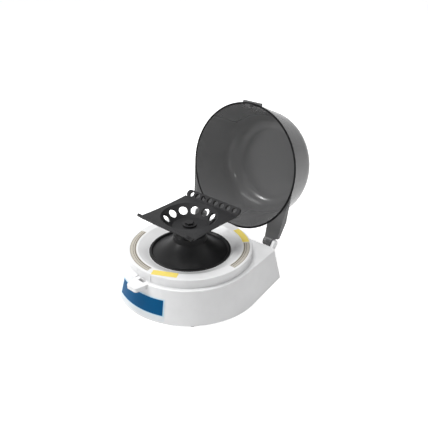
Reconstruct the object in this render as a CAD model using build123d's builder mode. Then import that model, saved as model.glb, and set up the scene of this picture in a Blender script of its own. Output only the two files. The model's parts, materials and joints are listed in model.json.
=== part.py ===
"""Mini centrifuge: round tapered housing, smoked flip lid and a rotor for two tube strips."""
# Millimetres. +Z is up, +Y points to the hinge at the back, -Y to the latch at the front.
# The pieces are drawn about the rotor's axis, with the table at Z 0, and written with the
# origin on the table under the middle of the whole, the open lid included.
import os
from math import acos, atan2, cos, degrees, hypot, radians, sin, sqrt

from build123d import *

os.makedirs("parts", exist_ok=True)

# Housing: a round front with straight sides that close in towards the back
base_radius = 82.3
base_rear_half = 72.6
base_rear_y = 75.0
shoulder_radius = 72.8
shoulder_rear_half = 66.8
shoulder_rear_y = 69.5
rear_corner = 6.0
housing_bottom = 1.5
shoulder_height = 37.3
housing_wall = 2.5
shoulder_round = 1.2

# Ring that stands on the shoulder, and the sloping mouth of the chamber
ring_radius = 68.3
ring_height = 47.2
ring_round = 1.0
mouth_radius = 57.0
seat_radius = 46.0
seat_height = 42.0
seat_bore = 43.0
seat_lip_depth = 5.0

# Base pan, feet and the screws that hold the pan
pan_thickness = 2.5
pan_gap = 0.3
foot_radius = 7.5
foot_plug_radius = 4.8
foot_recess = 0.8
foot_inset = 8.3
foot_rear_inset = 15.5
boss_radius = 4.0
boss_inset = 14.1
boss_rear_inset_x = 14.8
boss_rear_inset_y = 23.5
housing_screw_radius = 1.5
housing_screw_length = 14.0
screw_head_radius = 2.8
screw_head_height = 1.8

# Chamber cone
cone_lip_radius = 45.1
cone_lip_height = 1.4
cone_lip_chamfer = 0.7
cone_lip_slope = 0.4
cone_wall = 2.2
cone_foot_radius = 41.2
cone_neck_radius = 18.6
cone_neck_height = 8.6
cone_neck_draft = 0.3
cone_crown = 2.0
cone_sag = 2.0
cone_top = 65.0
cone_bore = 6.0
cone_fit = 0.3

# Motor and what carries it
motor_radius = 14.0
motor_bottom = 22.0
motor_top = 60.0
can_wall = 1.2
motor_air_gap = 0.6
magnet_thickness = 2.2
brush_room = 8.0
head_room = 7.0
commutator_length = 4.0
armature_inset = 1.0
armature_slot_depth = 4.0
armature_slot_width = 1.2
bush_radius = 4.0
bush_length = 4.0
bush_proud = 1.0
bush_room = 1.0
shaft_radius = 1.6
shaft_tail = 1.0
bush_clearance = 0.03
mount_wall = 1.5
mount_clearance = 0.4
mount_flange_radius = 36.0
mount_flange_z = 34.0
mount_hole_circle = 30.0
damper_radius = 5.0
damper_neck_radius = 3.0
damper_lower = 3.0
damper_upper = 2.0
post_radius = 4.5
mount_screw_radius = 1.5
mount_screw_grip = 9.0
drill_room = 1.0
motor_screw_circle = 8.0
motor_screw_radius = 1.3

# Rotor: square plate, dished bowl and two upturned bars for strips of eight tubes
plate_half_x = 38.5
plate_waist = 37.2
plate_top = 84.0
plate_thickness = 2.2
bar_half_length = 38.5
bar_width = 9.2
bar_corner = 4.0
bar_thickness = 3.0
bar_angle = 45.0
bar_centre_y = 36.7
bar_centre_z = 86.7
tube_pitch = 9.0
tube_count = 8
tube_hole_radius = 3.1
bowl_radius = 31.0
bowl_floor_radius = 19.0
bowl_floor_top = 72.0
bowl_wall = 2.2
bowl_hole_count = 12
bowl_hole_radius = 5.0
rotor_boss_radius = 7.5
rotor_boss_height = 2.0
hub_radius = 4.5
hub_flange_radius = 9.0
hub_flange_thickness = 3.0
hub_gap = 1.0
cap_radius = 5.0
cap_height = 2.4
cap_bore = 1.7
shaft_in_cap = 1.2

# Lid, modelled closed and then turned back about its hinge
lid_rim_radius = 72.7
lid_top_radius = 59.9
lid_height = 60.0
lid_crown = 24.0
lid_wall = 2.2
lid_gap = 0.3
lid_open_angle = 101.9
ear_height = 8.4
ear_plate = 2.5
ear_side_inset = 2.6
ear_rear_inset = 1.2
ear_slope_start_y = 48.0
ear_rear_height = 5.0
finger_tab_half = 12.5
finger_tab_out = 1.4
finger_tab_height = 3.2

# Hinge: a knuckle each side on a pin that one lug of the housing holds
hinge_back = 5.2
hinge_up = 2.7
knuckle_radius = 5.5
knuckle_length = 10.7
knuckle_play = 0.4
lug_side_inset = 4.8
lug_width = 3.4
lug_radius = 3.8
pin_inset = 1.5
hinge_pin_radius = 1.5
hinge_clearance = 0.05

# Latch: a tongue in the front of the ring with a push tab, and the lid's hook
tongue_half = 9.3
tongue_gap = 0.6
tongue_top = 45.2
tongue_root_gap = 0.25
tab_out = 3.7
tab_tip_half = 6.8
tab_root_out = 3.2
tab_bottom = 32.5
tab_top = 36.9
tab_tip_round = 3.0
catch_half = 4.3
catch_room = 1.5
hook_half = 3.6
hook_inset = 0.5
hook_thickness = 1.4
hook_grip = 2.0
hook_play = 0.3
hook_nose = 2.0
hook_nose_height = 1.6
hook_reach = 1.1

# Power inlet and rocker switch on the back wall
inlet_x = -24.0
inlet_z = 20.0
inlet_flange_radius = 5.6
inlet_flange = 1.5
inlet_barrel_radius = 4.0
inlet_depth = 12.0
plug_bore_radius = 2.75
plug_depth = 9.0
plug_pin_radius = 1.0
nut_width = 11.0
nut_thickness = 2.0
switch_x = 24.0
switch_z = 21.0
switch_width = 19.0
switch_tall = 13.0
switch_depth = 14.0
switch_flange = 1.5
switch_rim = 1.2
switch_pocket_depth = 10.5
rocker_width = 13.8
rocker_tall = 9.6
rocker_gap = 0.4
rocker_swing_gap = 1.0
rocker_pin_proud = 0.8
rocker_crest = 2.2
rocker_dip = 1.2
rocker_skirt = 1.5
rocker_pivot_depth = 3.0
rocker_fit = 0.05
rocker_tilt = 9.0
rocker_pin_radius = 1.0

# Circuit board, lid sensor and its magnet
board_x = 56.0
board_y = 24.0
board_thickness = 1.6
board_rear_gap = 23.0
board_z = 9.0
board_edge = 4.0
board_post_radius = 2.5
board_screw_radius = 1.1
board_screw_grip = 4.0
board_row_shift = -2.0
board_blocks = ((-8.0, 10.0, 7.0, 6.0), (6.0, 9.0, 9.0, 2.0), (17.0, 6.0, 8.0, 8.0))
capacitor_x = -19.0
capacitor_radius = 4.0
capacitor_height = 10.0
sensor_length = 12.0
sensor_width = 6.0
sensor_height = 4.0
magnet_radius = 3.0
magnet_height = 3.0
magnet_gap = 1.4

# Sizes that follow from the ones above
rise = shoulder_height - housing_bottom
rear_lean = atan2(base_rear_y - shoulder_rear_y, rise)
pan_top = housing_bottom + pan_thickness
deck_under = shoulder_height - housing_wall
ring_under = ring_height - housing_wall
ring_inner = ring_radius - housing_wall
lid_rim_z = shoulder_height + lid_gap
lid_top_z = lid_rim_z + lid_height
lid_inner_rim = lid_rim_radius - lid_wall
side_lean = (lid_rim_radius - lid_top_radius) / lid_height
pillar_top = mount_flange_z - damper_lower
rotor_boss_top = bowl_floor_top + rotor_boss_height
board_centre_y = base_rear_y - board_rear_gap

# Hinge, from the lugs inwards
hinge_y = shoulder_rear_y + hinge_back
hinge_z = shoulder_height + hinge_up
hinge_axis = Axis((0, hinge_y, hinge_z), (1, 0, 0))
ear_end_x = shoulder_rear_half - ear_side_inset
ear_rear_y = shoulder_rear_y - ear_rear_inset
lug_outer_x = shoulder_rear_half - lug_side_inset
lug_inner_x = lug_outer_x - lug_width
knuckle_end_x = lug_inner_x - knuckle_play
ear_inner_x = knuckle_end_x - knuckle_length
pin_inner_x = ear_inner_x + pin_inset

# Latch, from the lid's rim inwards
hook_inner_y = lid_inner_rim - hook_inset
catch_inner_y = hook_inner_y - hook_reach
catch_outer_y = hook_inner_y + hook_thickness + catch_room
tab_tip_y = base_radius + tab_out
tab_root_y = shoulder_radius + tab_root_out

# Lid magnet, on the ear behind the round wall
magnet_x = -(ear_inner_x + knuckle_end_x) / 2
magnet_y = sqrt((lid_rim_radius + magnet_radius + magnet_gap) ** 2 - magnet_x**2)

# Feet and the pan's screws: two in front on the diagonals, two at the back
foot_front = (base_radius - foot_inset) * cos(radians(45))
foot_rear_x = base_rear_half - foot_rear_inset
foot_rear_y = base_rear_y - foot_rear_inset
boss_front = (shoulder_radius - boss_inset) * cos(radians(45))
boss_rear_x = shoulder_rear_half - boss_rear_inset_x
boss_rear_y = shoulder_rear_y - boss_rear_inset_y
screw_spots = [
    (-boss_front, -boss_front), (boss_front, -boss_front),
    (-boss_rear_x, boss_rear_y), (boss_rear_x, boss_rear_y),
]
foot_spots = [
    (-foot_front, -foot_front), (foot_front, -foot_front),
    (-foot_rear_x, foot_rear_y), (foot_rear_x, foot_rear_y),
]

# Middle of the whole from front to back: the push tab's tip to the open lid's crown
crown_radius = lid_top_radius + lid_crown * (side_lean - sqrt(1 + side_lean**2))
open_turn = radians(lid_open_angle)
lid_rear_y = (
    hinge_y - (crown_radius + hinge_y) * cos(open_turn)
    + (lid_top_z - lid_crown - hinge_z) * sin(open_turn) + lid_crown
)
middle_y = (lid_rear_y - tab_tip_y) / 2


def save(builder, name):
    """Move a finished piece to the origin of the whole, label it and write it."""
    builder.part = builder.part.moved(Location((0, -middle_y, 0)))
    builder.part.label = name
    export_step(builder.part, f"parts/{name}.step")


def touch_point(radius, corner_x, corner_y):
    """Where the straight side from a rear corner touches the round front."""
    angle = atan2(corner_y, corner_x) - acos(radius / hypot(corner_x, corner_y))
    return radius * cos(angle), radius * sin(angle)


def housing_plan(height, inset=0.0):
    """Outline of the housing at a height, drawn in by the inset."""
    share = (height - housing_bottom) / rise
    radius = base_radius + share * (shoulder_radius - base_radius) - inset
    half = base_rear_half + share * (shoulder_rear_half - base_rear_half) - inset
    rear = base_rear_y + share * (shoulder_rear_y - base_rear_y) - inset
    side_x, side_y = touch_point(radius, half, rear)
    with BuildSketch(Plane.XY.offset(height)) as plan:
        with BuildLine():
            ThreePointArc((side_x, side_y), (0, -radius), (-side_x, side_y))
            Polyline((-side_x, side_y), (-half, rear), (half, rear), (side_x, side_y))
        make_face()
        fillet(plan.vertices().group_by(Axis.Y)[-1], rear_corner)
    return plan.sketch


def rear_wall_plane(x, z):
    """Plane on the leaning back wall, its Z axis pointing out of the housing."""
    share = (z - housing_bottom) / rise
    wall_y = base_rear_y + share * (shoulder_rear_y - base_rear_y)
    return Plane(origin=(x, wall_y, z), x_dir=(-1, 0, 0), z_dir=(0, cos(rear_lean), sin(rear_lean)))


inlet_plane = rear_wall_plane(inlet_x, inlet_z)
switch_plane = rear_wall_plane(switch_x, switch_z)

# Upper housing: tapered shell, ring, sloping mouth, latch window and hinge lugs
with BuildPart() as upper_housing:
    loft([housing_plan(housing_bottom), housing_plan(shoulder_height)], ruled=True)
    fillet(upper_housing.faces().sort_by(Axis.Z)[-1].edges(), shoulder_round)
    loft(
        [housing_plan(housing_bottom, housing_wall), housing_plan(deck_under, housing_wall)],
        ruled=True, mode=Mode.SUBTRACT,
    )
    with Locations((0, 0, deck_under)):
        Cylinder(ring_inner, housing_wall, align=(Align.CENTER, Align.CENTER, Align.MIN), mode=Mode.SUBTRACT)
    # Ring wall, flat top, slope down to the seat of the chamber cone, and its lip
    with BuildSketch(Plane.XZ) as ring_profile:
        with BuildLine():
            Polyline(
                (ring_radius, deck_under), (ring_radius, ring_height), (mouth_radius, ring_height),
                (seat_radius, seat_height), (seat_bore, seat_height),
                (seat_bore, seat_height - seat_lip_depth),
                (seat_bore + housing_wall, seat_height - seat_lip_depth),
                (seat_bore + housing_wall, seat_height - housing_wall),
                (mouth_radius, ring_under), (ring_inner, ring_under), (ring_inner, deck_under),
                close=True,
            )
        make_face()
        fillet(ring_profile.vertices().group_by(Axis.Y)[-1], ring_round)
    revolve(axis=Axis.Z)
    # Screw bosses for the base pan
    with BuildSketch(Plane.XY.offset(pan_top)):
        with Locations(*screw_spots):
            Circle(boss_radius)
    extrude(until=Until.NEXT)
    with BuildSketch(Plane.XY.offset(pan_top)):
        with Locations(*screw_spots):
            Circle(housing_screw_radius)
    extrude(amount=housing_screw_length - pan_thickness, mode=Mode.SUBTRACT)
    # Hinge lugs, outside the knuckles
    with BuildSketch(Plane.YZ.offset(lug_inner_x)):
        with BuildLine():
            CenterArc((hinge_y, hinge_z), lug_radius, 0, 360)
            Polyline(
                (shoulder_rear_y - housing_wall, deck_under), (shoulder_rear_y - housing_wall / 2, deck_under),
                (shoulder_rear_y, deck_under - knuckle_radius), close=True,
            )
        make_hull()
    lug = extrude(amount=lug_width)
    mirror(lug, about=Plane.YZ)
    # Room for the knuckles to turn in, and the pins' holes
    for side in (1, -1):
        middle = side * (ear_inner_x + knuckle_end_x) / 2
        with Locations(Location((middle, hinge_y, hinge_z), (0, 90, 0))):
            Cylinder(
                knuckle_radius + knuckle_play, knuckle_end_x - ear_inner_x + 2 * knuckle_play,
                mode=Mode.SUBTRACT,
            )
        with Locations(Location((side * (pin_inner_x + lug_outer_x) / 2, hinge_y, hinge_z), (0, 90, 0))):
            Cylinder(hinge_pin_radius, lug_outer_x - pin_inner_x, mode=Mode.SUBTRACT)
    # Window for the latch tongue, through the ring wall and the shoulder
    window_low = tab_bottom - 2 * tongue_gap
    window_high = tongue_top + tongue_root_gap
    with BuildSketch(Plane.XZ.offset(ring_inner - housing_wall)):
        with Locations((0, (window_low + window_high) / 2)):
            Rectangle(2 * (tongue_half + tongue_gap), window_high - window_low)
    extrude(amount=tab_tip_y - ring_inner + housing_wall, mode=Mode.SUBTRACT)
    # Openings in the back wall
    with BuildSketch(inlet_plane):
        Circle(inlet_barrel_radius)
    extrude(amount=-2 * housing_wall, mode=Mode.SUBTRACT)
    with BuildSketch(switch_plane):
        Rectangle(switch_width, switch_tall)
    extrude(amount=-2 * housing_wall, mode=Mode.SUBTRACT)
save(upper_housing, "upper_housing")

# Base pan: bottom plate with the posts for the motor mount and the circuit board
board_spots = [
    (x, board_centre_y + y)
    for x in (-board_x / 2 + board_edge, board_x / 2 - board_edge)
    for y in (-board_y / 2 + board_edge, board_y / 2 - board_edge)
]
with BuildPart() as base_pan:
    loft(
        [housing_plan(housing_bottom, housing_wall + pan_gap), housing_plan(pan_top, housing_wall + pan_gap)],
        ruled=True,
    )
    with BuildSketch(Plane.XY.offset(pan_top)):
        with PolarLocations(mount_hole_circle, 3, start_angle=90):
            Circle(post_radius)
    extrude(amount=pillar_top - pan_top)
    with BuildSketch(Plane.XY.offset(pan_top)):
        with Locations(*board_spots):
            Circle(board_post_radius)
    extrude(amount=board_z - pan_top)
    with BuildSketch(Plane.XY.offset(pillar_top)):
        with PolarLocations(mount_hole_circle, 3, start_angle=90):
            Circle(mount_screw_radius)
    extrude(amount=-mount_screw_grip - drill_room, mode=Mode.SUBTRACT)
    with BuildSketch(Plane.XY.offset(board_z)):
        with Locations(*board_spots):
            Circle(board_screw_radius)
    extrude(amount=-board_screw_grip, mode=Mode.SUBTRACT)
    with BuildSketch(Plane.XY.offset(housing_bottom)):
        with Locations(*foot_spots):
            Circle(foot_plug_radius)
    extrude(amount=foot_recess, mode=Mode.SUBTRACT)
    with BuildSketch(Plane.XY.offset(housing_bottom)):
        with Locations(*screw_spots):
            Circle(housing_screw_radius)
    extrude(amount=pan_thickness, mode=Mode.SUBTRACT)
    with BuildSketch(Plane.XY.offset(housing_bottom)):
        with Locations(*screw_spots):
            Circle(screw_head_radius)
    extrude(amount=screw_head_height, mode=Mode.SUBTRACT)
save(base_pan, "base_pan")

# Four rubber feet: pads under the housing, with plugs in the pan's recesses
with BuildPart() as feet:
    with BuildSketch():
        with Locations(*foot_spots):
            Circle(foot_radius)
    extrude(amount=housing_bottom)
    chamfer(feet.edges().group_by(Axis.Z)[0], foot_recess / 2)
    with BuildSketch(Plane.XY.offset(housing_bottom)):
        with Locations(*foot_spots):
            Circle(foot_plug_radius)
    extrude(amount=foot_recess)
save(feet, "feet")

# Screws from below into the housing's bosses
with BuildPart() as housing_screws:
    with BuildSketch(Plane.XY.offset(housing_bottom)):
        with Locations(*screw_spots):
            Circle(housing_screw_radius)
    extrude(amount=housing_screw_length)
    with BuildSketch(Plane.XY.offset(housing_bottom)):
        with Locations(*screw_spots):
            Circle(screw_head_radius)
    extrude(amount=screw_head_height)
save(housing_screws, "housing_screws")

# Chamber cone: black liner with a raised lip, rising to a neck over the motor
lip_top = seat_height + cone_lip_height
skirt_bottom = seat_height - seat_lip_depth
cone_under = cone_top - cone_wall
outer_foot = (cone_foot_radius, seat_height - cone_lip_slope)
inner_foot = (cone_foot_radius - cone_wall, seat_height - cone_lip_slope - cone_wall)
outer_neck = (cone_neck_radius, cone_top - cone_neck_height)
inner_neck = (cone_neck_radius - cone_wall, cone_top - cone_neck_height - cone_wall / 2)
crown_edge = cone_neck_radius - cone_neck_draft
with BuildPart() as chamber_cone:
    with BuildSketch(Plane.XZ):
        with BuildLine():
            # Lip, seat and skirt
            Polyline(
                outer_foot, (seat_bore - cone_lip_slope, lip_top),
                (cone_lip_radius - cone_lip_chamfer, lip_top), (cone_lip_radius, lip_top - cone_lip_chamfer),
                (cone_lip_radius, seat_height), (seat_bore - cone_fit, seat_height),
                (seat_bore - cone_fit, skirt_bottom), (cone_foot_radius - cone_wall, skirt_bottom), inner_foot,
            )
            SagittaArc(inner_foot, inner_neck, cone_sag)
            # Neck and the bore for the drive hub
            Polyline(
                inner_neck, (crown_edge - cone_wall, cone_under), (cone_bore, cone_under),
                (cone_bore, cone_top), (crown_edge - cone_crown, cone_top),
                (crown_edge, cone_top - cone_crown), outer_neck,
            )
            SagittaArc(outer_neck, outer_foot, -cone_sag)
        make_face()
    revolve(axis=Axis.Z)
save(chamber_cone, "chamber_cone")

# Motor mount: flanged cup that holds the motor by its face
mount_inner = motor_radius + mount_clearance
mount_outer = mount_inner + mount_wall
with BuildPart() as motor_mount:
    with BuildSketch(Plane.XZ):
        with BuildLine():
            Polyline(
                (mount_flange_radius, mount_flange_z), (mount_flange_radius, mount_flange_z + mount_wall),
                (mount_outer, mount_flange_z + mount_wall), (mount_outer, motor_top + mount_wall),
                (bush_radius + bush_room, motor_top + mount_wall), (bush_radius + bush_room, motor_top),
                (mount_inner, motor_top), (mount_inner, mount_flange_z), close=True,
            )
        make_face()
    revolve(axis=Axis.Z)
    with BuildSketch(Plane.XY.offset(mount_flange_z)):
        with PolarLocations(mount_hole_circle, 3, start_angle=90):
            Circle(damper_neck_radius)
    extrude(amount=mount_wall, mode=Mode.SUBTRACT)
    with BuildSketch(Plane.XY.offset(motor_top)):
        with PolarLocations(motor_screw_circle, 2):
            Circle(motor_screw_radius)
    extrude(amount=mount_wall, mode=Mode.SUBTRACT)
save(motor_mount, "motor_mount")

# Rubber dampers between the posts and the mount's flange
damper_top = mount_flange_z + mount_wall + damper_upper
with BuildPart() as mount_dampers:
    for low, high, radius in (
        (pillar_top, mount_flange_z, damper_radius),
        (mount_flange_z, mount_flange_z + mount_wall, damper_neck_radius),
        (mount_flange_z + mount_wall, damper_top, damper_radius),
    ):
        with BuildSketch(Plane.XY.offset(low)):
            with PolarLocations(mount_hole_circle, 3, start_angle=90):
                Circle(radius)
        extrude(amount=high - low)
    with BuildSketch(Plane.XY.offset(pillar_top)):
        with PolarLocations(mount_hole_circle, 3, start_angle=90):
            Circle(mount_screw_radius)
    extrude(amount=damper_top - pillar_top, mode=Mode.SUBTRACT)
save(mount_dampers, "mount_dampers")

# Screws through the dampers into the posts
with BuildPart() as mount_screws:
    with BuildSketch(Plane.XY.offset(pillar_top - mount_screw_grip)):
        with PolarLocations(mount_hole_circle, 3, start_angle=90):
            Circle(mount_screw_radius)
    extrude(amount=damper_top - pillar_top + mount_screw_grip)
    with BuildSketch(Plane.XY.offset(damper_top)):
        with PolarLocations(mount_hole_circle, 3, start_angle=90):
            Circle(screw_head_radius)
    extrude(amount=screw_head_height)
save(mount_screws, "mount_screws")

# Motor can: steel cup, open below, with a seat for the upper bush
can_inner = motor_radius - can_wall
with BuildPart() as motor_can:
    with BuildSketch(Plane.XY.offset(motor_bottom)):
        Circle(motor_radius)
    extrude(amount=motor_top - motor_bottom)
    with BuildSketch(Plane.XY.offset(motor_bottom)):
        Circle(can_inner)
    extrude(amount=motor_top - motor_bottom - 2 * can_wall, mode=Mode.SUBTRACT)
    with BuildSketch(Plane.XY.offset(motor_top)):
        Circle(bush_radius)
    extrude(amount=-2 * can_wall, mode=Mode.SUBTRACT)
    with BuildSketch(Plane.XY.offset(motor_top)):
        with PolarLocations(motor_screw_circle, 2):
            Circle(motor_screw_radius)
    extrude(amount=-2 * can_wall, mode=Mode.SUBTRACT)
save(motor_can, "motor_can")

# End cap that closes the can and holds the lower bush
with BuildPart() as motor_end_cap:
    with BuildSketch(Plane.XY.offset(motor_bottom)):
        Circle(can_inner)
        Circle(bush_radius, mode=Mode.SUBTRACT)
    extrude(amount=bush_length - bush_proud)
save(motor_end_cap, "motor_end_cap")

# Sintered bushes at both ends of the motor
with BuildPart() as motor_bushes:
    for bottom in (motor_bottom, motor_top + bush_proud - bush_length):
        with BuildSketch(Plane.XY.offset(bottom)):
            Circle(bush_radius)
            Circle(shaft_radius + bush_clearance, mode=Mode.SUBTRACT)
        extrude(amount=bush_length)
save(motor_bushes, "motor_bushes")

# Two curved magnets on the can's wall
magnet_inner = can_inner - magnet_thickness
magnet_low = motor_bottom + brush_room
magnet_high = motor_top - head_room
with BuildPart() as motor_magnets:
    with BuildSketch(Plane.XY.offset(magnet_low)):
        Circle(can_inner)
        Circle(magnet_inner, mode=Mode.SUBTRACT)
        Rectangle(magnet_inner, 2 * motor_radius, mode=Mode.SUBTRACT)
    extrude(amount=magnet_high - magnet_low)
save(motor_magnets, "motor_magnets")

# Screws that hold the motor's face to the mount
with BuildPart() as motor_screws:
    with BuildSketch(Plane.XY.offset(motor_top - 2 * can_wall)):
        with PolarLocations(motor_screw_circle, 2):
            Circle(motor_screw_radius)
    extrude(amount=2 * can_wall + mount_wall)
    with BuildSketch(Plane.XY.offset(motor_top + mount_wall)):
        with PolarLocations(motor_screw_circle, 2):
            Circle(2 * motor_screw_radius)
    extrude(amount=cone_top - cone_wall - motor_top - mount_wall - cone_fit)
save(motor_screws, "motor_screws")

# Armature with its commutator, turning with the shaft
armature_radius = magnet_inner - motor_air_gap
stack_low = magnet_low + armature_inset
stack_length = magnet_high - magnet_low - 2 * armature_inset
with BuildPart() as motor_armature:
    with BuildSketch(Plane.XY.offset(stack_low)):
        Circle(armature_radius)
        with PolarLocations(armature_radius, 3):
            Rectangle(2 * armature_slot_depth, armature_slot_width, mode=Mode.SUBTRACT)
    extrude(amount=stack_length)
    with BuildSketch(Plane.XY.offset(stack_low)):
        Circle(bush_radius)
    extrude(amount=-commutator_length)
    with BuildSketch(Plane.XY.offset(stack_low - commutator_length)):
        Circle(shaft_radius)
    extrude(amount=commutator_length + stack_length, mode=Mode.SUBTRACT)
save(motor_armature, "motor_armature")

# Rotor shaft, from under the lower bush into the cap nut
shaft_bottom = motor_bottom - shaft_tail
with BuildPart() as rotor_shaft:
    with BuildSketch(Plane.XY.offset(shaft_bottom)):
        Circle(shaft_radius)
    extrude(amount=rotor_boss_top + shaft_in_cap - shaft_bottom)
    chamfer(rotor_shaft.edges().group_by(Axis.Z)[-1], shaft_radius / 4)
save(rotor_shaft, "rotor_shaft")

# Drive hub, pressed on the shaft, with the flange that carries the rotor
floor_under = bowl_floor_top - bowl_wall
hub_sleeve_bottom = motor_top + bush_proud + hub_gap
with BuildPart() as drive_hub:
    with BuildSketch(Plane.XZ):
        with BuildLine():
            Polyline(
                (shaft_radius, hub_sleeve_bottom), (hub_radius, hub_sleeve_bottom),
                (hub_radius, floor_under - hub_flange_thickness),
                (hub_flange_radius, floor_under - hub_flange_thickness), (hub_flange_radius, floor_under),
                (hub_radius, floor_under), (hub_radius, rotor_boss_top), (shaft_radius, rotor_boss_top),
                close=True,
            )
        make_face()
    revolve(axis=Axis.Z)
save(drive_hub, "drive_hub")

# Strip rotor: plate, dished bowl with round holes, and the two bars with tube holes
bowl_tilt = degrees(atan2(plate_top - bowl_floor_top, bowl_radius - bowl_floor_radius))
bowl_skin = bowl_wall / cos(radians(bowl_tilt))
hole_r = (bowl_radius + bowl_floor_radius) / 2
hole_z = (plate_top + bowl_floor_top) / 2
fold_y = bar_centre_y - bar_width / 2 * cos(radians(bar_angle))
with BuildPart() as strip_rotor:
    # Plate with slightly waisted sides
    with BuildSketch(Plane.XY.offset(plate_top)):
        with BuildLine():
            ThreePointArc((plate_half_x, -fold_y), (plate_waist, 0), (plate_half_x, fold_y))
            Line((plate_half_x, fold_y), (-plate_half_x, fold_y))
            ThreePointArc((-plate_half_x, fold_y), (-plate_waist, 0), (-plate_half_x, -fold_y))
            Line((-plate_half_x, -fold_y), (plate_half_x, -fold_y))
        make_face()
    extrude(amount=-plate_thickness)
    # Bars, tilted up and outwards, each with its row of tube holes
    for side in (1, -1):
        bar_plane = Plane(
            origin=(0, side * bar_centre_y, bar_centre_z), x_dir=(side, 0, 0),
            z_dir=(0, -side * sin(radians(bar_angle)), cos(radians(bar_angle))),
        )
        with BuildSketch(bar_plane):
            RectangleRounded(2 * bar_half_length, bar_width, bar_corner)
        extrude(amount=-bar_thickness)
        with BuildSketch(bar_plane):
            with GridLocations(tube_pitch, 1, tube_count, 1):
                Circle(tube_hole_radius)
        extrude(amount=-2 * bar_thickness, mode=Mode.SUBTRACT)
    # Bowl: cut its mouth, then add the dished wall, the floor and the central boss
    with BuildSketch(Plane.XY.offset(plate_top)):
        Circle(bowl_radius)
    extrude(amount=-plate_thickness, mode=Mode.SUBTRACT)
    with BuildSketch(Plane.XZ):
        with BuildLine():
            Polyline(
                (bowl_radius, plate_top), (bowl_floor_radius, bowl_floor_top),
                (rotor_boss_radius, bowl_floor_top), (rotor_boss_radius, rotor_boss_top),
                (hub_radius, rotor_boss_top), (hub_radius, floor_under),
                (bowl_floor_radius + bowl_wall / 2, floor_under),
                (bowl_radius + bowl_skin, plate_top), close=True,
            )
        make_face()
    revolve(axis=Axis.Z)
    # Round holes through the dished wall
    for turn in range(bowl_hole_count):
        angle = radians(turn * 360 / bowl_hole_count)
        hole_plane = Plane(
            origin=(hole_r * cos(angle), hole_r * sin(angle), hole_z),
            z_dir=(
                -cos(angle) * sin(radians(bowl_tilt)), -sin(angle) * sin(radians(bowl_tilt)),
                cos(radians(bowl_tilt)),
            ),
        )
        with BuildSketch(hole_plane):
            Circle(bowl_hole_radius)
        extrude(amount=2 * bowl_wall, both=True, mode=Mode.SUBTRACT)
save(strip_rotor, "strip_rotor")

# Cap nut on the shaft that holds the rotor down
with BuildPart() as rotor_cap:
    with BuildSketch(Plane.XY.offset(rotor_boss_top)):
        RegularPolygon(cap_radius, 6)
    extrude(amount=cap_height)
    fillet(rotor_cap.edges().group_by(Axis.Z)[-1], cap_height / 6)
    with BuildSketch(Plane.XY.offset(rotor_boss_top)):
        Circle(shaft_radius)
    extrude(amount=cap_bore, mode=Mode.SUBTRACT)
save(rotor_cap, "rotor_cap")

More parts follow.
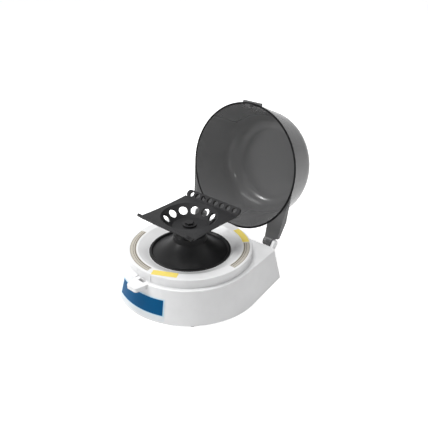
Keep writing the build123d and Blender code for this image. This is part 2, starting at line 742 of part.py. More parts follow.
# Lid: domed shell with two hinge ears, a finger tab and the latch hook, drawn closed
nose_top = tab_bottom - hook_play
hook_bottom = nose_top - hook_nose_height
lid_side_x, lid_side_y = touch_point(lid_rim_radius, ear_end_x, ear_rear_y)
with BuildPart() as lid:
    # Ear plates at the rim, between the round wall and the knuckles
    with BuildSketch(Plane.XY.offset(lid_rim_z)):
        with BuildLine():
            Polyline(
                (lid_side_x, lid_side_y), (ear_end_x, ear_rear_y), (knuckle_end_x, ear_rear_y),
                (knuckle_end_x, hinge_y), (ear_inner_x, hinge_y), (ear_inner_x, lid_rim_radius / 2),
                close=True,
            )
        make_face()
    ear = extrude(amount=ear_plate)
    mirror(ear, about=Plane.YZ)
    # Outer walls of the ears, which rise from the round wall and drop towards the hinge
    with BuildSketch(Plane.XY.offset(lid_rim_z)):
        with BuildLine():
            Polyline(
                (lid_side_x, lid_side_y), (ear_end_x, ear_rear_y), (ear_end_x - lid_wall, ear_rear_y),
                (lid_side_x - lid_wall, lid_side_y), close=True,
            )
        make_face()
    ear_wall = extrude(amount=ear_height)
    mirror(ear_wall, about=Plane.YZ)
    with BuildSketch(Plane.YZ.offset(-lid_rim_radius)):
        with BuildLine():
            Polyline(
                (lid_side_y, lid_rim_z), (ear_slope_start_y, lid_rim_z + ear_height),
                (ear_rear_y, lid_rim_z + ear_rear_height), (ear_rear_y, lid_rim_z + 2 * ear_height),
                (lid_side_y, lid_rim_z + 2 * ear_height), close=True,
            )
        make_face()
    extrude(amount=2 * lid_rim_radius, mode=Mode.SUBTRACT)
    # Dome
    with BuildSketch(Plane.XZ) as dome:
        with BuildLine():
            Polyline(
                (0, lid_rim_z), (lid_rim_radius, lid_rim_z), (lid_top_radius, lid_top_z), (0, lid_top_z),
                close=True,
            )
        make_face()
        fillet(dome.vertices().group_by(Axis.Y)[-1].sort_by(Axis.X)[-1], lid_crown)
    revolve(axis=Axis.Z)
    # Knuckles that turn on the pins
    for side in (1, -1):
        with Locations(Location((side * (ear_inner_x + knuckle_end_x) / 2, hinge_y, hinge_z), (0, 90, 0))):
            Cylinder(knuckle_radius, knuckle_end_x - ear_inner_x)
            Cylinder(
                hinge_pin_radius + hinge_clearance, knuckle_end_x - ear_inner_x, mode=Mode.SUBTRACT,
            )
    # Finger tab on the front of the rim
    with BuildSketch(Plane.XY.offset(lid_rim_z)) as tab_plan:
        with Locations((0, -(lid_rim_radius + finger_tab_out) / 2)):
            Rectangle(2 * finger_tab_half, lid_rim_radius + finger_tab_out)
        fillet(tab_plan.vertices().group_by(Axis.Y)[0], finger_tab_out)
    extrude(amount=finger_tab_height)
    # Hollow of the dome
    with BuildSketch(Plane.XZ) as hollow:
        with BuildLine():
            Polyline(
                (0, lid_rim_z), (lid_inner_rim, lid_rim_z),
                (lid_inner_rim - side_lean * (lid_height - lid_wall), lid_top_z - lid_wall),
                (0, lid_top_z - lid_wall), close=True,
            )
        make_face()
        fillet(hollow.vertices().group_by(Axis.Y)[-1].sort_by(Axis.X)[-1], lid_crown - lid_wall)
    revolve(axis=Axis.Z, mode=Mode.SUBTRACT)
    # Hook that drops into the latch tongue's slot and catches under its inner edge
    with BuildSketch(Plane.YZ.offset(-hook_half)):
        with BuildLine():
            Polyline(
                (-hook_inner_y, lid_rim_z + hook_grip), (-hook_inner_y, nose_top),
                (-hook_inner_y + hook_nose, nose_top), (-hook_inner_y, hook_bottom),
                (-hook_inner_y - hook_thickness, hook_bottom),
                (-hook_inner_y - hook_thickness, lid_rim_z + hook_grip), close=True,
            )
        make_face()
    extrude(amount=2 * hook_half)
lid.part = lid.part.rotate(hinge_axis, -lid_open_angle)
save(lid, "lid")

# Magnet on the ear's plate, over the sensor when the lid is shut
with BuildPart() as lid_magnet:
    with BuildSketch(Plane.XY.offset(lid_rim_z + ear_plate)):
        with Locations((magnet_x, magnet_y)):
            Circle(magnet_radius)
    extrude(amount=magnet_height)
lid_magnet.part = lid_magnet.part.rotate(hinge_axis, -lid_open_angle)
save(lid_magnet, "lid_magnet")

# Hinge pins, pressed in the lugs
with BuildPart() as hinge_pins:
    for side in (1, -1):
        with Locations(Location((side * (pin_inner_x + lug_outer_x) / 2, hinge_y, hinge_z), (0, 90, 0))):
            Cylinder(hinge_pin_radius, lug_outer_x - pin_inner_x)
save(hinge_pins, "hinge_pins")

# Latch tongue: part of the ring wall with a push tab and the slot for the lid's hook
with BuildPart() as latch_tongue:
    with BuildSketch(Plane.XY.offset(tab_bottom)):
        Circle(ring_radius)
        Circle(ring_inner, mode=Mode.SUBTRACT)
        with Locations((0, -ring_radius)):
            Rectangle(2 * tongue_half, ring_radius, mode=Mode.INTERSECT)
    extrude(amount=tongue_top - tab_bottom)
    with BuildSketch(Plane.XY.offset(tab_bottom)) as tab_plan:
        with BuildLine():
            Polyline(
                (-tongue_half, -ring_inner), (-tongue_half, -tab_root_y), (-tab_tip_half, -tab_tip_y),
                (tab_tip_half, -tab_tip_y), (tongue_half, -tab_root_y), (tongue_half, -ring_inner),
                close=True,
            )
        make_face()
        fillet(tab_plan.vertices().group_by(Axis.Y)[0], tab_tip_round)
    extrude(amount=tab_top - tab_bottom)
    with BuildSketch(Plane.XY.offset(tab_bottom)):
        with Locations((0, -(catch_inner_y + catch_outer_y) / 2)):
            Rectangle(2 * catch_half, catch_outer_y - catch_inner_y)
    extrude(amount=tab_top - tab_bottom, mode=Mode.SUBTRACT)
save(latch_tongue, "latch_tongue")

# Power inlet: flange, barrel with the plug's bore, and its centre pin
with BuildPart() as power_inlet:
    with BuildSketch(inlet_plane):
        Circle(inlet_flange_radius)
    extrude(amount=inlet_flange)
    with BuildSketch(inlet_plane):
        Circle(inlet_barrel_radius)
    extrude(amount=-inlet_depth)
    with BuildSketch(inlet_plane.offset(inlet_flange)):
        Circle(plug_bore_radius)
    extrude(amount=-plug_depth, mode=Mode.SUBTRACT)
    with BuildSketch(inlet_plane.offset(inlet_flange - plug_depth)):
        Circle(plug_pin_radius)
    extrude(amount=plug_depth - inlet_flange)
save(power_inlet, "power_inlet")

# Nut that clamps the inlet from inside
with BuildPart() as inlet_nut:
    with BuildSketch(inlet_plane.offset(-housing_wall)):
        RegularPolygon(nut_width / 2, 6, major_radius=False)
        Circle(inlet_barrel_radius, mode=Mode.SUBTRACT)
    extrude(amount=-nut_thickness)
save(inlet_nut, "inlet_nut")

# Frame of the rocker switch
with BuildPart() as switch_frame:
    with BuildSketch(switch_plane):
        Rectangle(switch_width + 2 * switch_rim, switch_tall + 2 * switch_rim)
    extrude(amount=switch_flange)
    with BuildSketch(switch_plane):
        Rectangle(switch_width, switch_tall)
    extrude(amount=-switch_depth)
    with BuildSketch(switch_plane.offset(switch_flange)):
        Rectangle(rocker_width + 2 * rocker_swing_gap, rocker_tall + 2 * rocker_gap)
    extrude(amount=-switch_pocket_depth, mode=Mode.SUBTRACT)
    rocker_plane = Plane(
        origin=switch_plane.offset(-rocker_pivot_depth).origin, x_dir=switch_plane.x_dir,
        z_dir=switch_plane.y_dir,
    )
    with BuildSketch(rocker_plane):
        Circle(rocker_pin_radius + rocker_fit)
    extrude(amount=rocker_tall / 2 + rocker_pin_proud + rocker_gap, both=True, mode=Mode.SUBTRACT)
save(switch_frame, "switch_frame")

# Rocker, tipped to one side, with its two pivot stubs
with BuildPart() as switch_rocker:
    with BuildSketch(rocker_plane):
        with BuildLine():
            Polyline(
                (-rocker_width / 2, -rocker_pivot_depth - rocker_crest), (0, -rocker_pivot_depth - rocker_dip),
                (rocker_width / 2, -rocker_pivot_depth - rocker_crest),
                (rocker_width / 2, -rocker_skirt), (rocker_width / 4, rocker_skirt),
                (-rocker_width / 4, rocker_skirt), (-rocker_width / 2, -rocker_skirt), close=True,
            )
        make_face()
    extrude(amount=rocker_tall / 2, both=True)
    with BuildSketch(rocker_plane):
        Circle(rocker_pin_radius)
    extrude(amount=rocker_tall / 2 + rocker_pin_proud, both=True)
switch_rocker.part = switch_rocker.part.rotate(Axis(rocker_plane.origin, rocker_plane.z_dir), rocker_tilt)
save(switch_rocker, "switch_rocker")

# Circuit board and the parts on it
with BuildPart() as circuit_board:
    with BuildSketch(Plane.XY.offset(board_z)):
        with Locations((0, board_centre_y)):
            Rectangle(board_x, board_y)
        with Locations(*board_spots):
            Circle(board_screw_radius, mode=Mode.SUBTRACT)
    extrude(amount=board_thickness)
save(circuit_board, "circuit_board")

with BuildPart() as board_screws:
    with BuildSketch(Plane.XY.offset(board_z - board_screw_grip)):
        with Locations(*board_spots):
            Circle(board_screw_radius)
    extrude(amount=board_thickness + board_screw_grip)
    with BuildSketch(Plane.XY.offset(board_z + board_thickness)):
        with Locations(*board_spots):
            Circle(2 * board_screw_radius)
    extrude(amount=board_screw_radius)
save(board_screws, "board_screws")

board_top = board_z + board_thickness
with BuildPart() as board_parts:
    for x, width, depth, height in board_blocks:
        with BuildSketch(Plane.XY.offset(board_top)):
            with Locations((x, board_centre_y + board_row_shift)):
                Rectangle(width, depth)
        extrude(amount=height)
    with BuildSketch(Plane.XY.offset(board_top)):
        with Locations((capacitor_x, board_centre_y + board_row_shift)):
            Circle(capacitor_radius)
    extrude(amount=capacitor_height)
save(board_parts, "board_parts")

# Lid sensor under the deck, below the lid's magnet
with BuildPart() as lid_sensor:
    with BuildSketch(Plane.XY.offset(deck_under)):
        with Locations((magnet_x, magnet_y)):
            Rectangle(sensor_length, sensor_width)
    extrude(amount=-sensor_height)
save(lid_sensor, "lid_sensor")

# Facts about the joints, for reading after a build
print("rotor axis at y", -middle_y, "hinge at y, z", hinge_y - middle_y, hinge_z)
print("latch root at y, z", -(ring_radius + ring_inner) / 2 - middle_y, tongue_top)
print("rocker pivot", rocker_plane.origin - Vector(0, middle_y, 0), "axis", rocker_plane.z_dir)
print("feet at", [(x, y - middle_y) for x, y in foot_spots])
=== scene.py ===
import json
import math

import bmesh
import bpy
from mathutils import Matrix, Vector


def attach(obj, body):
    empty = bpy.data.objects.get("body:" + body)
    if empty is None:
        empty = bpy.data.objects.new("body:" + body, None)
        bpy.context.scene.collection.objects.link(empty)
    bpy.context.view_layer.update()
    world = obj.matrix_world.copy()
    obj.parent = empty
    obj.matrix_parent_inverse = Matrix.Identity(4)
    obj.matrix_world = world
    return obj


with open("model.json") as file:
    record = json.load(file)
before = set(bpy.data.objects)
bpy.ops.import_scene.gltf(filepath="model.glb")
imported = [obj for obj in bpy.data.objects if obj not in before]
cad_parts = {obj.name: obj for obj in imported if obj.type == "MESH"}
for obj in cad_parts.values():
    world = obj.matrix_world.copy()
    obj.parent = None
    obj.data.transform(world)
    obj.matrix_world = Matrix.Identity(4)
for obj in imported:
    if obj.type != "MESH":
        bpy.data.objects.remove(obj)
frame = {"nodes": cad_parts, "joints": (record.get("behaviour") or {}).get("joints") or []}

nodes = frame["nodes"]
joints = {joint["name"]: joint for joint in frame["joints"]}
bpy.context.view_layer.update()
scene = bpy.context.scene
mm = 0.001  # the sizes of the pieces made here are in millimetres
rotorAxis = Vector((*joints["rotor_spin"]["pos_m"][:2], 0))
lidHinge = Vector(joints["lid_hinge"]["pos_m"])
lidTurn = math.radians(joints["lid_hinge"]["range_deg"][1])
print("frame loaded with", len(nodes), "nodes")


# the camera stands where the photograph was taken from
viewSettings = {
    "azimuth": 41.57, "elevation": 27.34, "distance": 0.6,
    "toRight": 0.02626, "upwards": 0.0761, "lens": 44.23, "sensor": 36,
}


def placeCamera(view):
    turn, lift = math.radians(view["azimuth"]), math.radians(view["elevation"])
    right = Vector((math.cos(turn), math.sin(turn), 0))
    back = Vector((
        math.cos(lift) * math.sin(turn), -math.cos(lift) * math.cos(turn), math.sin(lift),
    ))
    up = back.cross(right)
    data = bpy.data.cameras.new("photoCamera")
    data.lens = view["lens"]
    data.sensor_width = view["sensor"]
    camera = bpy.data.objects.new("photoCamera", data)
    aside = view["toRight"] * right + view["upwards"] * up
    camera.location = rotorAxis + aside + view["distance"] * back
    camera.rotation_euler = (-back).to_track_quat("-Z", "Y").to_euler()
    scene.collection.objects.link(camera)
    scene.camera = camera


placeCamera(viewSettings)
print("camera placed")


# materials: the patterns that most finishes below are made with
patternSettings = {
    "colorDetail": 4, "roughDetail": 3, "grainDetail": 2,
    "rampEnds": (0.3, 0.7), "grainStrength": 0.6,
}


def startMaterial(name, color, roughness):
    material = bpy.data.materials.new(name)
    material.use_nodes = True
    shader = material.node_tree.nodes["Principled BSDF"]
    shader.inputs["Base Color"].default_value = (*color, 1)
    shader.inputs["Roughness"].default_value = roughness
    return material, material.node_tree, shader


def addNoise(tree, scale, detail, stretch=None):
    place = tree.nodes.new("ShaderNodeTexCoord").outputs["Object"]
    if stretch:
        mapping = tree.nodes.new("ShaderNodeMapping")
        mapping.inputs["Scale"].default_value = stretch
        tree.links.new(place, mapping.inputs["Vector"])
        place = mapping.outputs["Vector"]
    noise = tree.nodes.new("ShaderNodeTexNoise")
    noise.inputs["Scale"].default_value = scale
    noise.inputs["Detail"].default_value = detail
    tree.links.new(place, noise.inputs["Vector"])
    return noise


def varyColor(tree, shader, dark, light, scale):
    noise = addNoise(tree, scale, patternSettings["colorDetail"])
    ramp = tree.nodes.new("ShaderNodeValToRGB")
    ends = zip(ramp.color_ramp.elements, patternSettings["rampEnds"], (dark, light))
    for element, position, color in ends:
        element.position = position
        element.color = (*color, 1)
    tree.links.new(noise.outputs["Fac"], ramp.inputs["Fac"])
    tree.links.new(ramp.outputs["Color"], shader.inputs["Base Color"])


def varyRoughness(tree, shader, low, high, scale, stretch=None):
    noise = addNoise(tree, scale, patternSettings["roughDetail"], stretch)
    span = tree.nodes.new("ShaderNodeMapRange")
    span.inputs["To Min"].default_value = low
    span.inputs["To Max"].default_value = high
    tree.links.new(noise.outputs["Fac"], span.inputs["Value"])
    tree.links.new(span.outputs["Result"], shader.inputs["Roughness"])


def addGrain(tree, shader, scale, depth):
    noise = addNoise(tree, scale, patternSettings["grainDetail"])
    bump = tree.nodes.new("ShaderNodeBump")
    bump.inputs["Distance"].default_value = depth
    bump.inputs["Strength"].default_value = patternSettings["grainStrength"]
    tree.links.new(noise.outputs["Fac"], bump.inputs["Height"])
    tree.links.new(bump.outputs["Normal"], shader.inputs["Normal"])


# moulded plastics: a faint mottle in the colour and the fine grain of the mould
plasticPattern = {"mottle": 90, "gloss": 260, "coatRough": 0.2}
plasticFinishes = {
    "housingWhite": {
        "dark": (0.775, 0.777, 0.782), "light": (0.805, 0.807, 0.812),
        "rough": (0.26, 0.34), "grain": 3200, "depth": 0.000003, "coat": 0.12, "specular": 0.5,
    },
    "panGrey": {
        "dark": (0.34, 0.34, 0.345), "light": (0.39, 0.39, 0.395),
        "rough": (0.5, 0.6), "grain": 2600, "depth": 0.00001, "coat": 0, "specular": 0.4,
    },
    "linerBlack": {
        "dark": (0.005, 0.005, 0.0056), "light": (0.008, 0.008, 0.0087),
        "rough": (0.36, 0.44), "grain": 2400, "depth": 0.000012, "coat": 0, "specular": 0.22,
    },
    "rotorBlack": {
        "dark": (0.009, 0.009, 0.01), "light": (0.014, 0.014, 0.015),
        "rough": (0.48, 0.6), "grain": 2200, "depth": 0.000012, "coat": 0, "specular": 0.22,
    },
    "trimBlack": {
        "dark": (0.012, 0.012, 0.012), "light": (0.018, 0.018, 0.018),
        "rough": (0.4, 0.5), "grain": 2600, "depth": 0.000008, "coat": 0, "specular": 0.4,
    },
    "switchBlack": {
        "dark": (0.012, 0.012, 0.012), "light": (0.016, 0.016, 0.016),
        "rough": (0.18, 0.26), "grain": 3600, "depth": 0.000003, "coat": 0.3, "specular": 0.5,
    },
    "footRubber": {
        "dark": (0.014, 0.014, 0.014), "light": (0.022, 0.022, 0.022),
        "rough": (0.75, 0.88), "grain": 1800, "depth": 0.00002, "coat": 0, "specular": 0.3,
    },
}


def mouldedPlastic(name, finish):
    material, tree, shader = startMaterial(name, finish["light"], finish["rough"][1])
    varyColor(tree, shader, finish["dark"], finish["light"], plasticPattern["mottle"])
    varyRoughness(tree, shader, *finish["rough"], plasticPattern["gloss"])
    addGrain(tree, shader, finish["grain"], finish["depth"])
    shader.inputs["Specular IOR Level"].default_value = finish["specular"]
    shader.inputs["Coat Weight"].default_value = finish["coat"]
    shader.inputs["Coat Roughness"].default_value = plasticPattern["coatRough"]
    return material


# metals: turned or drawn marks as stretched noise
markScale = 400
metalFinishes = {
    "plainSteel": {"color": (0.52, 0.52, 0.53), "rough": (0.28, 0.4), "stretch": (1, 1, 14)},
    "turnedAluminium": {"color": (0.68, 0.68, 0.69), "rough": (0.22, 0.34), "stretch": (1, 1, 20)},
    "sinteredBronze": {"color": (0.5, 0.31, 0.13), "rough": (0.45, 0.6), "stretch": (1, 1, 1)},
    "stackedPlates": {"color": (0.3, 0.3, 0.31), "rough": (0.4, 0.6), "stretch": (0.1, 0.1, 30)},
    "magnetGrey": {"color": (0.12, 0.12, 0.125), "rough": (0.5, 0.65), "stretch": (1, 1, 1)},
}


def machinedMetal(name, finish):
    material, tree, shader = startMaterial(name, finish["color"], finish["rough"][1])
    shader.inputs["Metallic"].default_value = 1
    varyRoughness(tree, shader, *finish["rough"], markScale, finish["stretch"])
    return material


# the smoked lid: each wall has two faces, so only a little light comes through both
lidFinish = {
    "tint": (0.088, 0.088, 0.09), "rough": 0.17, "smoother": 0.03, "rougher": 0.05, "smudge": 120,
    "alpha": 0.83, "specular": 0.22, "ior": 1.49,
}


def smokedAcrylic(finish):
    material, tree, shader = startMaterial("smokedAcrylic", finish["tint"], finish["rough"])
    low, high = finish["rough"] - finish["smoother"], finish["rough"] + finish["rougher"]
    varyRoughness(tree, shader, low, high, finish["smudge"])
    shader.inputs["IOR"].default_value = finish["ior"]
    shader.inputs["Specular IOR Level"].default_value = finish["specular"]
    shader.inputs["Alpha"].default_value = finish["alpha"]
    return material


# printed films and painted shade: the colour and roughness of each, with a faint fade and a fine
# grain
filmPattern = {"fade": 0.94, "patch": 150, "grain": 2800, "depth": 0.000003, "specular": 0.08}
filmAndShadeFinishes = {
    "labelBlue": ((0.0, 0.082, 0.215), 0.4), "labelPale": ((0.5, 0.74, 0.88), 0.4),
    "labelClear": ((0.75, 0.785, 0.805), 0.4), "stickerYellow": ((0.84, 0.68, 0.17), 0.45),
    "bandCream": ((0.52, 0.49, 0.43), 0.5), "bandLine": ((0.14, 0.12, 0.1), 0.5),
    # the last finish here is no print but painted shade, for the shadowed slits beside the latch
    # tongue
    "rimShade": ((0.004, 0.004, 0.0045), 0.4), "slitPaintedShade": ((0.012, 0.012, 0.013), 0.6),
}


def printAndShadeFilm(name, color, roughness):
    material, tree, shader = startMaterial(name, color, roughness)
    shader.inputs["Specular IOR Level"].default_value = filmPattern["specular"]
    darker = tuple(filmPattern["fade"] * part for part in color)
    varyColor(tree, shader, darker, color, filmPattern["patch"])
    addGrain(tree, shader, filmPattern["grain"], filmPattern["depth"])
    return material


# the circuit board's green lacquer, a little uneven
boardFinish = {
    "middle": (0.01, 0.13, 0.04), "dark": (0.008, 0.1, 0.03), "light": (0.014, 0.15, 0.05),
    "rough": 0.3, "patch": 500,
}


def boardGreen(finish):
    material, tree, shader = startMaterial("boardGreen", finish["middle"], finish["rough"])
    varyColor(tree, shader, finish["dark"], finish["light"], finish["patch"])
    return material


finishes = {name: mouldedPlastic(name, finish) for name, finish in plasticFinishes.items()}
finishes.update({name: machinedMetal(name, finish) for name, finish in metalFinishes.items()})
finishes.update({name: printAndShadeFilm(name, *finish) for name, finish in filmAndShadeFinishes.items()})
finishes["smokedAcrylic"] = smokedAcrylic(lidFinish)
finishes["boardGreen"] = boardGreen(boardFinish)

nodeFinishes = {
    "upper_housing": "housingWhite", "latch_tongue": "housingWhite", "base_pan": "panGrey",
    "feet": "footRubber", "mount_dampers": "footRubber", "chamber_cone": "linerBlack",
    "strip_rotor": "rotorBlack", "rotor_cap": "rotorBlack", "drive_hub": "turnedAluminium",
    "rotor_shaft": "plainSteel", "motor_armature": "stackedPlates", "lid": "smokedAcrylic",
    "lid_magnet": "magnetGrey", "motor_magnets": "magnetGrey", "hinge_pins": "plainSteel",
    "motor_mount": "plainSteel", "motor_can": "plainSteel", "motor_end_cap": "trimBlack",
    "motor_bushes": "sinteredBronze", "motor_screws": "plainSteel", "mount_screws": "plainSteel",
    "housing_screws": "plainSteel", "board_screws": "plainSteel", "circuit_board": "boardGreen",
    "board_parts": "trimBlack", "lid_sensor": "trimBlack", "power_inlet": "trimBlack",
    "inlet_nut": "plainSteel", "switch_frame": "trimBlack", "switch_rocker": "switchBlack",
}
for nodeName, finishName in nodeFinishes.items():
    materials = nodes[nodeName].data.materials
    materials.clear()
    materials.append(finishes[finishName])
print("materials on the nodes")


sharpEdge = math.radians(30)  # an edge that turns more than this stays sharp


# pieces are drawn about the rotor's axis, as the part is, and moved to it at the end
def finishPiece(bm, name, finishName, body):
    bmesh.ops.recalc_face_normals(bm, faces=bm.faces)
    mesh = bpy.data.meshes.new(name)
    bm.to_mesh(mesh)
    bm.free()
    mesh.materials.append(finishes[finishName])
    mesh.shade_smooth()
    mesh.set_sharp_from_angle(angle=sharpEdge)
    piece = bpy.data.objects.new(name, mesh)
    scene.collection.objects.link(piece)
    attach(piece, body)


def toRotorAxis(bm):
    bmesh.ops.translate(bm, verts=bm.verts, vec=rotorAxis)


# a strip spun about the axis between two points of its section, and given its thickness
def spunFilm(low, high, fromDeg, toDeg, steps, thickness):
    bm = bmesh.new()
    ends = [bm.verts.new((radius * mm, 0, height * mm)) for radius, height in (low, high)]
    edge = bm.edges.new(ends)
    start = Matrix.Rotation(math.radians(fromDeg), 3, "Z")
    bmesh.ops.rotate(bm, verts=bm.verts, cent=(0, 0, 0), matrix=start)
    bmesh.ops.spin(
        bm, geom=ends + [edge], cent=(0, 0, 0), axis=(0, 0, 1),
        angle=math.radians(toDeg - fromDeg), steps=steps,
    )
    bmesh.ops.recalc_face_normals(bm, faces=bm.faces)
    lean = 0.01  # a flat strip faces neither in nor out, and this makes it face up
    outward = 0
    for face in bm.faces:
        middle = face.calc_center_median()
        outward += face.normal.dot(Vector((middle.x, middle.y, lean)))
    if outward < 0:
        bmesh.ops.reverse_faces(bm, faces=bm.faces)
    grown = bmesh.ops.extrude_face_region(bm, geom=bm.faces[:])
    for item in grown["geom"]:
        if isinstance(item, bmesh.types.BMVert):
            item.co += item.normal * thickness * mm
    toRotorAxis(bm)
    return bm


# front label: clear film, on it a pale border and on that a plain blue field
# the housing's wall behind it runs between two points, each a height and a radius
labelSettings = {
    "wallLow": (1.5, 82.3), "wallHigh": (37.3, 72.8), "lift": 0.04, "thickness": 0.1, "steps": 40,
    "layers": (
        ("labelFilm", "labelClear", (-114.6, -65.4), (3.6, 27.2)),
        ("labelBorder", "labelPale", (-113.9, -66.1), (8.8, 26.4)),
        ("labelField", "labelBlue", (-113.0, -67.0), (9.6, 25.6)),
    ),
}


def makeLabel(settings):
    (lowZ, lowR), (highZ, highR) = settings["wallLow"], settings["wallHigh"]
    slope = (highR - lowR) / (highZ - lowZ)
    lift = settings["lift"]
    for name, finishName, span, heights in settings["layers"]:
        ends = [(lowR + (z - lowZ) * slope + lift, z) for z in heights]
        bm = spunFilm(*ends, *span, settings["steps"], settings["thickness"])
        finishPiece(bm, name, finishName, "base")
        lift += settings["thickness"]


makeLabel(labelSettings)
print("front label made")


# printed bands with their lines, and yellow stickers, on the ring's flat top
ringPrint = {
    "top": 47.2, "lift": 0.03, "thickness": 0.05, "steps": 40,
    "bands": ((-168, -87.5), (-2.5, 47)),
    "bandField": (58.8, 65.6),
    "bandLines": ((59.5, 60.4), (61.9, 62.3), (65.0, 65.3)), "lineInset": 1,
    "rearSticker": {"radii": (58.4, 66.0), "span": (48, 75.5), "steps": 16},
    "frontSticker": {
        "centre": (20.1, -57.6), "length": 27, "width": 8, "turn": 28,
        "corner": 0.6, "cornerSteps": 4,
    },
}


def makeRingStrip(name, finishName, radii, span, height, steps, thickness):
    inner, outer = radii
    bm = spunFilm((inner, height), (outer, height), *span, steps, thickness)
    finishPiece(bm, name, finishName, "base")


def makeFrontSticker(sticker, height, thickness):
    bm = bmesh.new()
    bmesh.ops.create_grid(bm, x_segments=1, y_segments=1, size=0.5)
    size = (sticker["length"] * mm, sticker["width"] * mm, 1)
    bmesh.ops.scale(bm, vec=size, verts=bm.verts)
    bmesh.ops.bevel(
        bm, geom=bm.verts[:], offset=sticker["corner"] * mm, segments=sticker["cornerSteps"],
        profile=0.5, affect="VERTICES", material=-1,
    )
    grown = bmesh.ops.extrude_face_region(bm, geom=bm.faces[:])
    top = [item for item in grown["geom"] if isinstance(item, bmesh.types.BMVert)]
    bmesh.ops.translate(bm, verts=top, vec=(0, 0, thickness * mm))
    turn = Matrix.Rotation(math.radians(sticker["turn"]), 3, "Z")
    bmesh.ops.rotate(bm, verts=bm.verts, cent=(0, 0, 0), matrix=turn)
    middle = Vector((*sticker["centre"], height)) * mm
    bmesh.ops.translate(bm, verts=bm.verts, vec=middle)
    toRotorAxis(bm)
    finishPiece(bm, "frontSticker", "stickerYellow", "base")


# the lines lie on the bands, and the stickers are twice as thick as a band
def makeRingPrint(settings):
    height = settings["top"] + settings["lift"]
    steps, thickness = settings["steps"], settings["thickness"]
    field, inset = settings["bandField"], settings["lineInset"]
    for number, span in enumerate(settings["bands"], 1):
        makeRingStrip(f"printedBand{number}", "bandCream", field, span, height, steps, thickness)
        level = height + thickness
        lineSpan = (span[0] + inset, span[1] - inset)
        for line, radii in enumerate(settings["bandLines"], 1):
            name = f"bandLine{number}_{line}"
            makeRingStrip(name, "bandLine", radii, lineSpan, level, steps, thickness)
    rear, stickerThickness = settings["rearSticker"], 2 * thickness
    makeRingStrip(
        "rearSticker", "stickerYellow", rear["radii"], rear["span"], height, rear["steps"],
        stickerThickness,
    )
    makeFrontSticker(settings["frontSticker"], height, stickerThickness)


makeRingPrint(ringPrint)
print("ring prints made")


# the slits beside the latch tongue hold only shadow, so a dark strip of painted shade lies deep in
# each one
paintedSlitShadeSettings = {"side": (9.5, 9.88), "depth": (-66.7, -65.4), "height": (34.9, 45.0)}


def makePaintedSlitShade(settings):
    spans = (settings["side"], settings["depth"], settings["height"])
    size = [(high - low) * mm for low, high in spans]
    middle = [(high + low) / 2 * mm for low, high in spans]
    for side, name in ((-1, "paintedSlitShadeLeft"), (1, "paintedSlitShadeRight")):
        bm = bmesh.new()
        bmesh.ops.create_cube(bm, size=1)
        bmesh.ops.scale(bm, vec=size, verts=bm.verts)
        bmesh.ops.translate(bm, vec=(side * middle[0], middle[1], middle[2]), verts=bm.verts)
        toRotorAxis(bm)
        finishPiece(bm, name, "slitPaintedShade", "base")


makePaintedSlitShade(paintedSlitShadeSettings)
print("slit strips made")


# the lid's flat rim shows as a dark line, because one looks into the tinted wall lengthwise
rimSettings = {"inner": 70.5, "outer": 72.7, "rim": 37.6, "thickness": 0.12, "steps": 120}


def makeLidRim(settings):
    low, high = (settings["rim"] - settings["thickness"]) * mm, settings["rim"] * mm
    inner, outer = settings["inner"] * mm, settings["outer"] * mm
    bm = bmesh.new()
    section = [bm.verts.new(place) for place in (
        (inner, 0, low), (outer, 0, low), (outer, 0, high), (inner, 0, high),
    )]
    edges = [bm.edges.new(pair) for pair in zip(section, section[1:] + section[:1])]
    bmesh.ops.spin(
        bm, geom=section + edges, cent=(0, 0, 0), axis=(0, 0, 1), angle=math.tau,
        steps=settings["steps"], use_merge=True,
    )
    toRotorAxis(bm)
    # it is drawn on the shut lid, and the lid stands open at rest
    opened = Matrix.Rotation(-lidTurn, 3, "X")
    bmesh.ops.rotate(bm, verts=bm.verts, cent=lidHinge, matrix=opened)
    finishPiece(bm, "lidRim", "rimShade", "lid")


makeLidRim(rimSettings)
print("lid rim made")


# floor, background and lamps
studio = {
    "floorColor": (0.82, 0.82, 0.82), "floorRough": 0.9, "floorHalf": 4, "floorLift": 0.87,
    "worldStrength": 0.15, "aim": (0, 0, 0.05),
    "lamps": {
        "keyLight": {"power": 5.6, "size": 0.13, "place": (-0.64, -0.89, 0.6)},
        "topLight": {"power": 14.5, "size": 0.9, "place": (-0.3, -0.1, 1.25)},
        "glintLight": {"power": 0.8, "size": 0.1, "place": (0.6, -0.72, 0.82)},
        "rightLight": {"power": 1.2, "size": 0.4, "place": (1.0, -0.3, 0.45)},
        "backLight": {"power": 0.5, "size": 0.3, "place": (0.63, 0.7, 0.94)},
    },
}


# 1 for a ray from the camera, off a gloss or through glass, and 0 for one that lights the object
def seenRays(tree):
    rays = tree.nodes.new("ShaderNodeLightPath")
    total = rays.outputs["Is Camera Ray"]
    for name in ("Is Glossy Ray", "Is Transmission Ray"):
        add = tree.nodes.new("ShaderNodeMath")
        add.use_clamp = True
        tree.links.new(total, add.inputs[0])
        tree.links.new(rays.outputs[name], add.inputs[1])
        total = add.outputs["Value"]
    return total


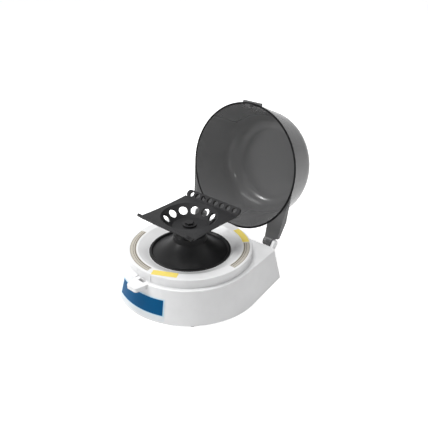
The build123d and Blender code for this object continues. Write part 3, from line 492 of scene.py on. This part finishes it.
def floorMaterial(settings):
    color, rough = settings["floorColor"], settings["floorRough"]
    material, tree, shader = startMaterial("paleFloor", color, rough)
    shader.inputs["Specular IOR Level"].default_value = 0
    glow = tree.nodes.new("ShaderNodeEmission")
    scaled = tree.nodes.new("ShaderNodeMath")
    scaled.operation = "MULTIPLY"
    scaled.inputs[1].default_value = settings["floorLift"]
    both = tree.nodes.new("ShaderNodeAddShader")
    output = tree.nodes["Material Output"]
    tree.links.new(seenRays(tree), scaled.inputs[0])
    tree.links.new(scaled.outputs["Value"], glow.inputs["Strength"])
    tree.links.new(shader.outputs["BSDF"], both.inputs[0])
    tree.links.new(glow.outputs["Emission"], both.inputs[1])
    tree.links.new(both.outputs["Shader"], output.inputs["Surface"])
    return material


def makeFloor(settings):
    bm = bmesh.new()
    bmesh.ops.create_grid(bm, x_segments=1, y_segments=1, size=settings["floorHalf"])
    mesh = bpy.data.meshes.new("floor")
    bm.to_mesh(mesh)
    bm.free()
    floor = bpy.data.objects.new("floor", mesh)
    scene.collection.objects.link(floor)
    mesh.materials.append(floorMaterial(settings))


def makeLamps(settings):
    for name, lampSettings in settings["lamps"].items():
        data = bpy.data.lights.new(name, "AREA")
        data.energy = lampSettings["power"]
        data.size = lampSettings["size"]
        lamp = bpy.data.objects.new(name, data)
        lamp.location = lampSettings["place"]
        towards = Vector(settings["aim"]) - Vector(lampSettings["place"])
        lamp.rotation_euler = towards.to_track_quat("-Z", "Y").to_euler()
        scene.collection.objects.link(lamp)


def makeWorld(settings):
    world = bpy.data.worlds.new("studioWorld")
    world.use_nodes = True
    scene.world = world
    tree = world.node_tree
    tree.nodes.clear()
    light = tree.nodes.new("ShaderNodeBackground")
    light.inputs["Strength"].default_value = settings["worldStrength"]
    seen = tree.nodes.new("ShaderNodeBackground")
    for background in (light, seen):
        background.inputs["Color"].default_value = (1, 1, 1, 1)
    mix = tree.nodes.new("ShaderNodeMixShader")
    output = tree.nodes.new("ShaderNodeOutputWorld")
    tree.links.new(seenRays(tree), mix.inputs["Fac"])
    tree.links.new(light.outputs["Background"], mix.inputs[1])
    tree.links.new(seen.outputs["Background"], mix.inputs[2])
    tree.links.new(mix.outputs["Shader"], output.inputs["Surface"])


makeFloor(studio)
makeLamps(studio)
makeWorld(studio)
scene.view_settings.view_transform = "Standard"
print("studio made")
